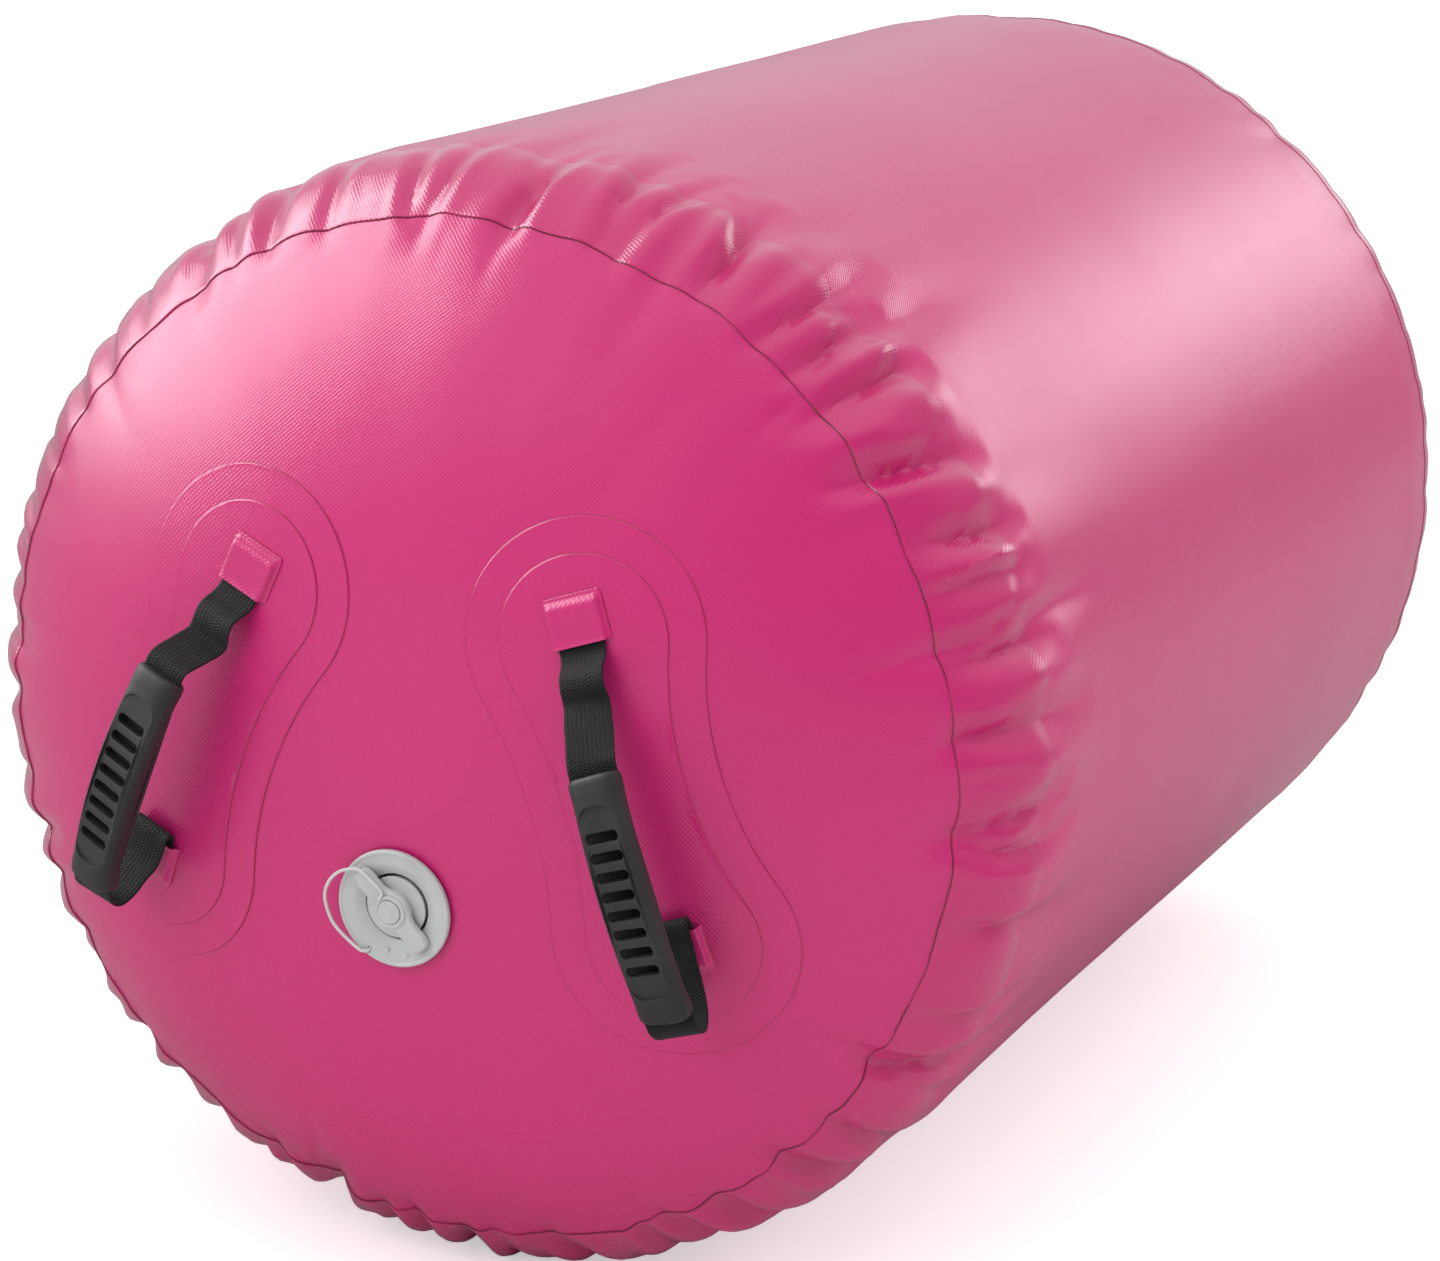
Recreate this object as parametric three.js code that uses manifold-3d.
// Inflatable air barrel for gymnastics: a coated-fabric cylinder with two domed ends, four webbing carry
// handles with moulded grips, and an inflation valve with a twist cap.
// Millimetres, +Z up. The barrel lies along Y, the valve end faces -Y, and the origin is the middle of the
// flat strip it rests on.
import * as THREE from "three";
import { mergeVertices } from "three/addons/utils/BufferGeometryUtils.js";
import Module from "manifold-3d";

const wasm = await Module();
wasm.setup();

const deg = (d) => (d * Math.PI) / 180;

// ---------- barrel dimensions
const BARREL_R = 300; // wall radius at the middle
const BARREL_LEN = 1000; // over both domes
const DOME_H = 125; // crown height of each end above its rim plane
const DOME_M = 2.56; // dome meridian: h * (1 - (r/R)^m)^(1/n)
const DOME_N = 1.63;
const SIDES = 40; // facets round the barrel
const PHASE = Math.PI / SIDES; // turns a flat, not a corner, to the floor
const FLATS = 1 / Math.cos(Math.PI / SIDES); // so the flats, not the corners, stand at the stated radius
const REST_WIDEN = 1.4; // the flat it rests on, against one side of the polygon
const REST_HALF_ANGLE = deg(6); // takes in the two lowest corners only
const SHEET = 0.9; // coated fabric thickness
const LAYER_GAP = 0.4; // room between bonded layers
const SEAM_R = 271; // cap-side edge of the rim tape
const BUTT_GAP = 0.6; // between sheet edges that meet under a tape
const WALL_SEAM_ANGLE = deg(45); // from straight down, towards -X
const WALL_TAPE_W = 44;
const WALL_TAPE_LEN = 660;

// Undersides of the bonded layers, measured outward from the outer face of the sheet
const LINING_LIFT = -2 * SHEET - LAYER_GAP;
const BASE_LIFT = LAYER_GAP;
const TOP_LIFT = BASE_LIFT + SHEET + LAYER_GAP;
const TAB_LIFT = TOP_LIFT + SHEET + LAYER_GAP;

// ---------- materials
const material = (settings) => new THREE.MeshStandardMaterial(settings);
const PINK = material({ color: 0xd23c7a, roughness: 0.38 });
const PINK_TAPE = material({ color: 0xcc3874, roughness: 0.35 });
const WEBBING = material({ color: 0x18191a, roughness: 0.85 });
const RUBBER = material({ color: 0x3c3e3e, roughness: 0.6 });
const GREY = material({ color: 0xc4c6c6, roughness: 0.45 });
const SEAL = material({ color: 0x2a2a2a, roughness: 0.7 });
const STEEL = material({ color: 0xb8babc, roughness: 0.3, metalness: 1 });
const CORD = material({ color: 0xeeeeee, roughness: 0.7 });

// ---------- solids and meshes
// A closed Manifold solid from a three.js geometry, whichever way its faces wind.
function solid(geometry) {
  const bare = (geometry.index ? geometry.toNonIndexed() : geometry).clone();
  for (const name of Object.keys(bare.attributes)) {
    if (name !== "position") bare.deleteAttribute(name);
  }
  const merged = mergeVertices(bare, 1e-4);
  const corners = [];
  for (let i = 0; i < merged.index.count; i += 3) {
    const [a, b, c] = [0, 1, 2].map((k) => merged.index.getX(i + k));
    if (a !== b && b !== c && a !== c) corners.push(a, b, c);
  }
  const build = () =>
    new wasm.Manifold(
      new wasm.Mesh({
        numProp: 3,
        vertProperties: new Float32Array(merged.attributes.position.array),
        triVerts: new Uint32Array(corners),
      }),
    );
  const built = build();
  if (built.volume() >= 0) return built;
  for (let i = 0; i < corners.length; i += 3) {
    [corners[i + 1], corners[i + 2]] = [corners[i + 2], corners[i + 1]];
  }
  return build();
}

function geometryOf(shape) {
  const data = shape.getMesh();
  const points = new Float32Array(data.numVert * 3);
  for (let i = 0; i < data.numVert; i++) {
    const start = i * data.numProp;
    points.set(data.vertProperties.subarray(start, start + 3), i * 3);
  }
  return new THREE.BufferGeometry()
    .setAttribute("position", new THREE.BufferAttribute(points, 3))
    .setIndex(new THREE.BufferAttribute(new Uint32Array(data.triVerts), 1));
}

// Adds a named piece, given as a solid or as a three.js geometry.
function addMesh(name, shape, finish, parent) {
  const geometry = geometryOf(shape.isBufferGeometry ? solid(shape) : shape);
  geometry.computeVertexNormals();
  const piece = new THREE.Mesh(geometry, finish);
  piece.name = name;
  parent.add(piece);
}

// ---------- shape helpers
// A closed [radius, y] profile turned about Y.
function turned(profile, sides, phase = 0) {
  let area = 0;
  profile.forEach(([r, y], i) => {
    const [nextR, nextY] = profile[(i + 1) % profile.length];
    area += r * nextY - nextR * y;
  });
  let points = area < 0 ? [...profile].reverse() : [...profile];
  const onAxis = ([r]) => r < 1e-9;
  if (points.some(onAxis)) {
    // start and end on the axis, so the lathe closes there
    while (!(onAxis(points[0]) && onAxis(points[points.length - 1]))) {
      points = [...points.slice(1), points[0]];
    }
  } else {
    points.push(points[0]);
  }
  return new THREE.LatheGeometry(
    points.map(([r, y]) => new THREE.Vector2(r, y)),
    sides,
    phase,
  );
}

// A ring of rectangular section about Y.
const ring = (innerR, outerR, low, high, sides) =>
  turned([[innerR, low], [outerR, low], [outerR, high], [innerR, high]], sides);

// An open line moved sideways to its left, with mitred corners.
function offsetLine(line, distance) {
  const normal = (a, b) => {
    const length = Math.hypot(b[0] - a[0], b[1] - a[1]);
    return [-(b[1] - a[1]) / length, (b[0] - a[0]) / length];
  };
  return line.map((p, i) => {
    const before = i > 0 ? normal(line[i - 1], p) : normal(p, line[1]);
    const after = i < line.length - 1 ? normal(p, line[i + 1]) : before;
    const sum = [before[0] + after[0], before[1] + after[1]];
    const length = Math.hypot(...sum);
    const mitre = distance / ((sum[0] * before[0] + sum[1] * before[1]) / length);
    return [p[0] + (sum[0] / length) * mitre, p[1] + (sum[1] / length) * mitre];
  });
}

// The outline of an open line given an even thickness.
const thickened = (line, thickness) => [
  ...offsetLine(line, thickness / 2),
  ...offsetLine(line, -thickness / 2).reverse(),
];

// An XY outline extruded from z = 0.
const plate = (outline, depth, bevel = { bevelEnabled: false }) =>
  new THREE.ExtrudeGeometry(
    new THREE.Shape(outline.map(([x, y]) => new THREE.Vector2(x, y))),
    { depth, steps: 1, curveSegments: 8, ...bevel },
  );

// A band along a line in the XY plane, its width centred on z = 0.
function ribbon(line, thickness, width) {
  return plate(thickened(line, thickness), width).translate(0, 0, -width / 2);
}

// A round rod along a 3D curve.
function rod(path, radius, steps, curveSegments) {
  const section = new THREE.Shape();
  section.absarc(0, 0, radius, 0, 2 * Math.PI);
  return new THREE.ExtrudeGeometry(section, {
    steps,
    curveSegments,
    bevelEnabled: false,
    extrudePath: path,
  });
}

// ---------- the shape of the barrel
const RIM_Y = BARREL_LEN / 2 - DOME_H;
const crown = (r) =>
  RIM_Y + DOME_H * Math.pow(1 - Math.pow(r / BARREL_R, DOME_M), 1 / DOME_N);

// Outer face of the sheet from the crown of a dome to the straight wall: radius, distance from mid-length.
const MERIDIAN = [
  ...[0, 75, 130, 180, 220, 250, SEAM_R].map((r) => [r, crown(r)]),
  [283.4, 411.2], [292.2, 397.5], [296.6, 385],
  [298.3, 372], [299.4, 357], [BARREL_R, 338],
];
// Places along MERIDIAN, by index
const CROWN_AT = 0;
const SEAM_AT = 6; // cap-side edge of the rim tape
const BUTT_AT = 8; // cap meets wall
const TAPE_END_AT = 10; // wall-side edge of the rim tape
const WALL_AT = MERIDIAN.length - 1;

// Part of the meridian moved outward, kept closed on the axis when it starts at the crown.
function offsetMeridian(from, to, distance) {
  const line = MERIDIAN.slice(from, to + 1);
  const moved = offsetLine(line, distance);
  if (from === CROWN_AT) {
    const [a, b] = line;
    const length = Math.hypot(b[0] - a[0], b[1] - a[1]);
    moved[0] = [0, a[1] + (distance * length) / (b[0] - a[0])];
  }
  return moved;
}

// The end point of a line drawn back towards its neighbour.
function drawnBack(tip, neighbour, distance) {
  const length = Math.hypot(neighbour[0] - tip[0], neighbour[1] - tip[1]);
  return tip.map((value, i) => value + ((neighbour[i] - value) * distance) / length);
}

// The strip the barrel rests on is pressed a little wider by its weight.
function settled(geometry) {
  const position = geometry.attributes.position;
  for (let i = 0; i < position.count; i++) {
    const x = position.getX(i);
    const z = position.getZ(i);
    if (z < 0 && Math.abs(x / z) < Math.tan(REST_HALF_ANGLE)) position.setX(i, x * REST_WIDEN);
  }
  return geometry;
}

const barrelTurned = (loop) =>
  settled(turned(loop.map(([r, y]) => [r * FLATS, y]), SIDES, PHASE));

// One sheet following the meridian. `lift` is its underside, `end` is -1 for the front and 1 for the rear,
// and `trim` shortens its wall-side edge.
function band(from, to, lift, end, trim = 0) {
  const [outer, inner] = [lift + SHEET, lift].map((distance) => {
    const line = offsetMeridian(from, to, distance);
    const last = line.length - 1;
    line[last] = drawnBack(line[last], line[last - 1], trim);
    return line;
  });
  return barrelTurned([...outer, ...inner.reverse()].map(([r, y]) => [r, end * y]));
}

// ---------- groups
const object = new THREE.Group();
const barrel = new THREE.Group();
barrel.position.z = BARREL_R;
object.add(barrel);

// Valve frame: local +Y points out of the barrel, +X to the right, +Z down.
const VALVE_Z = -71; // below the barrel axis
const VALVE_TILT = deg(4); // to sit square on the dome
const VALVE_HOLE_R = 22.6; // through the sheet, the gasket and the backing patch
const VALVE_SIDES = 24;
const valve = new THREE.Group();
valve.position.set(0, -crown(-VALVE_Z), VALVE_Z);
valve.rotation.x = Math.PI + VALVE_TILT;
barrel.add(valve);
valve.updateMatrix();

// A cutter about the valve axis, in the barrel's frame.
function valveCylinder(radius) {
  const geometry = new THREE.CylinderGeometry(radius, radius, 80, VALVE_SIDES);
  return solid(geometry.applyMatrix4(valve.matrix));
}

// ---------- wall and caps
// The wall is one sheet rolled up: its two edges meet under the seam tapes.
function wall() {
  const [outer, inner] = [0, -SHEET].map((distance) => {
    const line = offsetMeridian(BUTT_AT, WALL_AT, distance);
    line[0] = drawnBack(line[0], line[1], BUTT_GAP / 2);
    return line;
  });
  const mirrored = (line) => line.map(([r, y]) => [r, -y]);
  const loop = [
    ...mirrored(outer),
    ...[...outer].reverse(),
    ...inner,
    ...mirrored([...inner].reverse()),
  ];
  const slit = new THREE.BoxGeometry(BUTT_GAP, BARREL_LEN, 60);
  slit.translate(0, 0, -BARREL_R);
  slit.rotateY(WALL_SEAM_ANGLE);
  return solid(barrelTurned(loop)).subtract(solid(slit));
}

function wallSeamTape(lift) {
  const strip = new THREE.BoxGeometry(WALL_TAPE_W, WALL_TAPE_LEN, SHEET);
  strip.translate(0, 0, -(BARREL_R + lift + SHEET / 2));
  return strip.rotateY(WALL_SEAM_ANGLE);
}

const endCap = (end) => band(CROWN_AT, BUTT_AT, -SHEET, end, BUTT_GAP / 2);
const rimTape = (lift, end) => band(SEAM_AT, TAPE_END_AT, lift, end);

addMesh("barrel_wall", wall(), PINK, barrel);
addMesh("wall_seam_tape_outer", wallSeamTape(BASE_LIFT), PINK_TAPE, barrel);
addMesh("wall_seam_tape_inner", wallSeamTape(LINING_LIFT), PINK_TAPE, barrel);
const frontCap = solid(endCap(-1)).subtract(valveCylinder(VALVE_HOLE_R));
addMesh("front_end_cap", frontCap, PINK, barrel);
addMesh("rear_end_cap", endCap(1), PINK, barrel);
for (const [name, end] of [["front", -1], ["rear", 1]]) {
  addMesh(`${name}_rim_tape_outer`, rimTape(BASE_LIFT, end), PINK_TAPE, barrel);
  addMesh(`${name}_rim_tape_inner`, rimTape(LINING_LIFT, end), PINK_TAPE, barrel);
}

// ---------- handle dimensions
// Places on the cap are [x, z] from the barrel axis, for the right-hand handle.
const PATCH_UP = [94, 81]; // lobe centres of both patches
const PATCH_LOW = [146, -68];
const BASE_PATCH = { lobeR: 61.5, halfWaist: 50 };
const TOP_PATCH = { lobeR: 43.5, halfWaist: 32 };
const MOUTH_UP = [95, 80]; // where the webbing leaves its tabs
const MOUTH_LOW = [146, -61];
const WEB_W = 24; // handle webbing
const WEB_T = 1.5;
const TAB_LEN = 25;
const HINGE_H = 17; // the strap bends this far above the cap
const GRIP_LEN = 125;
const GRIP_W = 27.6;
const GRIP_D = 16;
const GRIP_END_H = 44.5;
const GRIP_BOW = 8;
const GRIP_END_SLOPE = (2 * GRIP_BOW) / (GRIP_LEN / 2);
const GRIP_EDGE = 3.5; // bevel across the grip's width
const GRIP_START = { right: 56, left: 42 }; // from the upper mouth, along the strap
const STRAIGHT = 6; // webbing runs on this far in line with each grip end
const STRAIGHT_H = GRIP_END_H - STRAIGHT * GRIP_END_SLOPE;
const CHANNEL_T = 5; // passage for the webbing through the grip
const CHANNEL_SLACK = 0.9;
const SLOT_COUNT = 8;
const SLOT_PITCH = 9.6;
const SLOT_W = 4.5;
const SLOT_L = 17;
const SLOT_CUT_H = 14;

// ---------- handle parts
const capPoint = (x, z) => new THREE.Vector3(x, -crown(Math.hypot(x, z)), z);

// Points out of the front end.
function capNormal(x, z) {
  const step = 0.5;
  const acrossX = capPoint(x + step, z).sub(capPoint(x - step, z));
  const acrossZ = capPoint(x, z + step).sub(capPoint(x, z - step));
  return acrossX.cross(acrossZ).normalize();
}

// A group whose local +X runs along the strap and +Y away from the cap.
function frameGroup(origin, along, out, parent) {
  const across = along.clone().cross(out).normalize();
  const group = new THREE.Group();
  const basis = new THREE.Matrix4().makeBasis(along, out, across);
  group.quaternion.setFromRotationMatrix(basis);
  group.position.copy(origin);
  parent.add(group);
  return group;
}

// Two lobes joined by a waist with hollow arcs for sides, in the x, z plane.
function dogBone(start, end, { lobeR, halfWaist }) {
  const length = Math.hypot(end[0] - start[0], end[1] - start[1]);
  const dirX = (end[0] - start[0]) / length;
  const dirZ = (end[1] - start[1]) / length;
  const sideR =
    ((length * length) / 4 + halfWaist ** 2 - lobeR * lobeR) / (2 * (lobeR - halfWaist));
  const sideOffset = halfWaist + sideR;
  const join = Math.atan2(sideOffset, length / 2); // where a lobe meets a side
  // centre along and across the bone, radius, first and last angle, points
  const arcs = [
    [0, 0, lobeR, join, 2 * Math.PI - join, 14],
    [length / 2, -sideOffset, sideR, Math.PI - join, join, 5],
    [length, 0, lobeR, Math.PI + join, 3 * Math.PI - join, 14],
    [length / 2, sideOffset, sideR, -join, -Math.PI + join, 5],
  ];
  const points = [];
  for (const [along, across, radius, first, last, count] of arcs) {
    for (let i = 0; i < count; i++) {
      const angle = first + ((last - first) * i) / count;
      const s = along + radius * Math.cos(angle);
      const t = across + radius * Math.sin(angle);
      points.push([start[0] + s * dirX - t * dirZ, start[1] + s * dirZ + t * dirX]);
    }
  }
  return points;
}

// A sheet patch of the given x, z outline, lying on the front cap.
function patchOnCap(outline, lift) {
  const prism = plate(outline, 250);
  prism.rotateX(Math.PI / 2);
  prism.translate(0, -350, 0);
  return solid(band(CROWN_AT, SEAM_AT, lift, -1)).intersect(solid(prism));
}

// A bridge of sheet over the webbing, starting at x = from.
function anchorTab(from) {
  const footH = TAB_LIFT + SHEET / 2;
  const roofH = TAB_LIFT + WEB_T + 0.7 + SHEET / 2;
  const roofHalfW = WEB_W / 2 + 1.2;
  const line = [
    [-17, footH], [-14, footH], [-roofHalfW, roofH],
    [roofHalfW, roofH], [14, footH], [17, footH],
  ];
  return plate(thickened(line, SHEET), TAB_LEN)
    .rotateY(Math.PI / 2)
    .translate(from, 0, 0);
}

// Centre lines of the webbing tails: along the strap from the mouth, height above the cap.
const TAIL_FLAT_H = TAB_LIFT + 0.15 + WEB_T / 2;
const UPPER_TAIL = [
  [-22, TAIL_FLAT_H], [1.5, TAIL_FLAT_H], [5, TAIL_FLAT_H + 1.2], [8.5, 8.6],
  [11, 13.2], [14, 16.2], [17, HINGE_H], [19.5, HINGE_H],
];
const LOWER_TAIL = [
  [22, TAIL_FLAT_H], [-2, TAIL_FLAT_H], [-6, 5], [-8.6, 8], [-8.8, 11.6],
  [-6.5, 14.8], [-2.5, 16.6], [2, HINGE_H], [7, HINGE_H],
];

// Height of the bowed grip's centre line above the line between the mouths.
const gripHeight = (s, middle) =>
  GRIP_END_H + GRIP_BOW * (1 - ((s - middle) / (GRIP_LEN / 2)) ** 2);

// The strap between its two hinges, through the grip. `span` is the distance between the mouths.
function webbingLoop(start, span) {
  const end = start + GRIP_LEN;
  const middle = (start + end) / 2;
  const inGrip = (s) => [s, gripHeight(s, middle)];
  const points = [
    [21.5, HINGE_H],
    [26, HINGE_H + 0.8],
    [(26 + start - STRAIGHT) / 2, (HINGE_H + GRIP_END_H - 1.8) / 2],
    [start - STRAIGHT, STRAIGHT_H],
    inGrip(start + 2),
    inGrip(start + 0.25 * GRIP_LEN),
    inGrip(middle),
    inGrip(start + 0.75 * GRIP_LEN),
    inGrip(end - 2),
    [end + STRAIGHT, STRAIGHT_H],
    [end + 12, GRIP_END_H - 8],
    [end + 13.5, GRIP_END_H - 16],
    [end + 9, GRIP_END_H - 23],
    [end + 1, HINGE_H + 1.3],
    [span + 13.5, HINGE_H],
    [span + 9.5, HINGE_H],
  ];
  const curve = new THREE.SplineCurve(points.map(([x, y]) => new THREE.Vector2(x, y)));
  const line = curve.getPoints(34).map(({ x, y }) => [x, y]);
  return ribbon(line, WEB_T, WEB_W);
}

// A bowed bar with a passage for the webbing and a row of slots in its outer face.
function grip(start) {
  const end = start + GRIP_LEN;
  const middle = (start + end) / 2;
  const centre = Array.from({ length: 9 }, (_, i) => {
    const s = start + (GRIP_LEN * i) / 8;
    return [s, gripHeight(s, middle)];
  });
  const bodyW = GRIP_W - 2 * GRIP_EDGE;
  const body = plate(thickened(centre, GRIP_D), bodyW, {
    bevelEnabled: true,
    bevelThickness: GRIP_EDGE,
    bevelSize: 3,
    bevelOffset: -3,
    bevelSegments: 2,
  });
  body.translate(0, 0, -bodyW / 2);
  const channel = [[start - STRAIGHT, STRAIGHT_H], ...centre, [end + STRAIGHT, STRAIGHT_H]];
  let shape = solid(body).subtract(solid(ribbon(channel, CHANNEL_T, WEB_W + CHANNEL_SLACK)));
  for (let i = 0; i < SLOT_COUNT; i++) {
    const s = middle + (i - (SLOT_COUNT - 1) / 2) * SLOT_PITCH;
    const slot = new THREE.BoxGeometry(SLOT_W, SLOT_CUT_H, SLOT_L);
    slot.translate(0, GRIP_D / 2, 0);
    slot.rotateZ(Math.atan((-2 * GRIP_BOW * (s - middle)) / (GRIP_LEN / 2) ** 2));
    slot.translate(s, gripHeight(s, middle), 0);
    shape = shape.subtract(solid(slot));
  }
  return shape;
}

// `side` is 1 for the handle at +X in the parent's frame and -1 for its mirror place.
function addHandle(name, side, gripStart, parent) {
  const at = ([x, z]) => [side * x, z];
  const add = (part, shape, finish, group) =>
    addMesh(`${name}_${part}`, shape, finish, group);
  const patch = (size, lift) =>
    patchOnCap(dogBone(at(PATCH_UP), at(PATCH_LOW), size), lift);
  add("base_patch", patch(BASE_PATCH, BASE_LIFT), PINK, parent);
  add("top_patch", patch(TOP_PATCH, TOP_LIFT), PINK, parent);

  const upper = capPoint(...at(MOUTH_UP));
  const lower = capPoint(...at(MOUTH_LOW));
  const upperNormal = capNormal(...at(MOUTH_UP));
  const lowerNormal = capNormal(...at(MOUTH_LOW));
  const along = lower.clone().sub(upper);
  const span = along.length();
  along.normalize();
  const squareTo = (vector, axis) =>
    vector.clone().addScaledVector(axis, -vector.dot(axis)).normalize();
  const out = squareTo(upperNormal.clone().add(lowerNormal), along);

  const upperFrame = frameGroup(upper, squareTo(along, upperNormal), upperNormal, parent);
  const lowerFrame = frameGroup(lower, squareTo(along, lowerNormal), lowerNormal, parent);
  add("upper_anchor_tab", anchorTab(-TAB_LEN), PINK, upperFrame);
  add("lower_anchor_tab", anchorTab(0), PINK, lowerFrame);
  add("upper_webbing_tail", ribbon(UPPER_TAIL, WEB_T, WEB_W), WEBBING, upperFrame);
  add("lower_webbing_tail", ribbon(LOWER_TAIL, WEB_T, WEB_W), WEBBING, lowerFrame);

  const strapFrame = frameGroup(upper, along, out, parent);
  add("webbing_loop", webbingLoop(gripStart, span), WEBBING, strapFrame);
  add("grip", grip(gripStart), RUBBER, strapFrame);
}

// The rear handles are the front ones turned half round about Z.
const rear = new THREE.Group();
rear.rotation.z = Math.PI;
barrel.add(rear);
for (const [end, parent] of [["front", barrel], ["rear", rear]]) {
  addHandle(`${end}_right_handle`, 1, GRIP_START.right, parent);
  addHandle(`${end}_left_handle`, -1, GRIP_START.left, parent);
}

// ---------- valve
// Profiles are [radius, y] in the valve frame, with y = 0 at the cap's outer face.
const FLANGE_R = 31.5;
const BODY_PROFILE = [
  [FLANGE_R, 1.6], [FLANGE_R, 3.6], [30.7, 4.4], [29.7, 4.4], [29, 3.7], [23, 3.1],
  [17.6, 0], [17.6, -14], [12, -14], [12, -17], [18.4, -18], [18.4, -34],
  [21.5, -34], [21.5, 1.6],
];
const NUT_PROFILE = [[22.1, -5], [33, -5], [33, -10], [26, -14], [22.1, -14]];
const STEM_PROFILE = [
  [0, -22.6], [15.5, -22.6], [15.5, -20.6], [2.7, -20.6],
  [2.7, -3.2], [5.4, -3.2], [5.4, -1.8], [0, -1.8],
];
const POPPET_SEAL_PROFILE = [[3.1, -20.2], [15.5, -20.2], [15.5, -18.4], [3.1, -17.4]];
const CAP_PROFILE = [
  [0, 0.2], [13.6, 0.2], [13.6, -11], [15.3, -11], [15.3, -9.4], [16.7, -9.4],
  [16.7, -1.2], [15.4, -0.2], [15.4, 1.4], [10, 1.8], [10, 8], [5.6, 8],
  [5.6, 9.9], [6.3, 9.9], [6.3, 10.7], [0, 10.7],
];
// Half the outline of the bar across the cap: along, across
const CAP_BAR_HALF = [[9, 5.4], [23, 5.75], [26, 3.6], [26, -3.6], [23, -5.75], [9, -5.4]];
// Cord from the ring on the cap round to the bar: x, y, z
const TETHER_POINTS = [
  [-3.1, 9.7, -9.2], [-7, 10.2, -15.5], [-17, 10.4, -21], [-29, 9.6, -16.5],
  [-36.5, 8.4, -4], [-33.5, 7.2, 11], [-23, 6.4, 21], [-13.8, 5.6, 24.2],
];
const SPRING = { turns: 3.5, radius: 4.3, wireR: 0.45, low: -13, high: -4.2 };

// The body, with a hub on three spokes across its bore for the poppet stem.
function valveBody() {
  let body = solid(turned(BODY_PROFILE, VALVE_SIDES));
  body = body.add(solid(ring(3.2, 5.2, -16.7, -14.3, 16)));
  for (let i = 0; i < 3; i++) {
    const spoke = new THREE.BoxGeometry(8.4, 2, 2.2);
    spoke.translate(8.6, -15.5, 0);
    spoke.rotateY((i * 2 * Math.PI) / 3);
    body = body.add(solid(spoke));
  }
  return body;
}

function backingPatch() {
  return solid(band(CROWN_AT, SEAM_AT, LINING_LIFT, -1))
    .intersect(valveCylinder(52))
    .subtract(valveCylinder(VALVE_HOLE_R));
}

// A nut inside the cap, with six notches round its rim.
function backNut() {
  let nut = solid(turned(NUT_PROFILE, VALVE_SIDES));
  for (let i = 0; i < 6; i++) {
    const notch = new THREE.BoxGeometry(6, 20, 6);
    notch.translate(33, -10, 0);
    notch.rotateY((i * Math.PI) / 3);
    nut = nut.subtract(solid(notch));
  }
  return nut;
}

class Helix extends THREE.Curve {
  getPoint(t, target = new THREE.Vector3()) {
    const { turns, radius, low, high } = SPRING;
    const angle = 2 * Math.PI * turns * t;
    return target.set(
      radius * Math.cos(angle),
      low + (high - low) * t,
      radius * Math.sin(angle),
    );
  }
}

// The twist cap with its finger bar.
function capKnob() {
  const outline = [...CAP_BAR_HALF, ...CAP_BAR_HALF.map(([x, y]) => [-x, -y])];
  const bar = plate(outline, 3, {
    bevelEnabled: true,
    bevelThickness: 0.6,
    bevelSize: 0.6,
    bevelOffset: -0.6,
    bevelSegments: 1,
  });
  bar.rotateX(-Math.PI / 2);
  bar.translate(0, 4.4, 0);
  bar.rotateY(deg(-45));
  return solid(turned(CAP_PROFILE, VALVE_SIDES)).add(solid(bar));
}

const gasket = ring(VALVE_HOLE_R, 29.5, 0.35, 1.25, VALVE_SIDES);
const poppetSeal = turned(POPPET_SEAL_PROFILE, VALVE_SIDES);
const capSeal = ring(15.7, 16.9, -10.9, -9.8, VALVE_SIDES);
const tetherRing = ring(6.7, 8.6, 8.4, 9.5, VALVE_SIDES);
const tetherPath = new THREE.CatmullRomCurve3(
  TETHER_POINTS.map((point) => new THREE.Vector3(...point)),
);

addMesh("valve_body", valveBody(), GREY, valve);
addMesh("valve_gasket", gasket, SEAL, valve);
addMesh("valve_backing_patch", backingPatch(), PINK, barrel);
addMesh("valve_back_nut", backNut(), GREY, valve);
addMesh("valve_poppet_stem", turned(STEM_PROFILE, 16), GREY, valve);
addMesh("valve_poppet_seal", poppetSeal, SEAL, valve);
addMesh("valve_poppet_spring", rod(new Helix(), SPRING.wireR, 26, 5), STEEL, valve);
addMesh("valve_cap_knob", capKnob(), GREY, valve);
addMesh("valve_cap_seal", capSeal, SEAL, valve);
addMesh("valve_tether_ring", tetherRing, CORD, valve);
addMesh("valve_tether_cord", rod(tetherPath, 0.85, 16, 6), CORD, valve);

export default object;
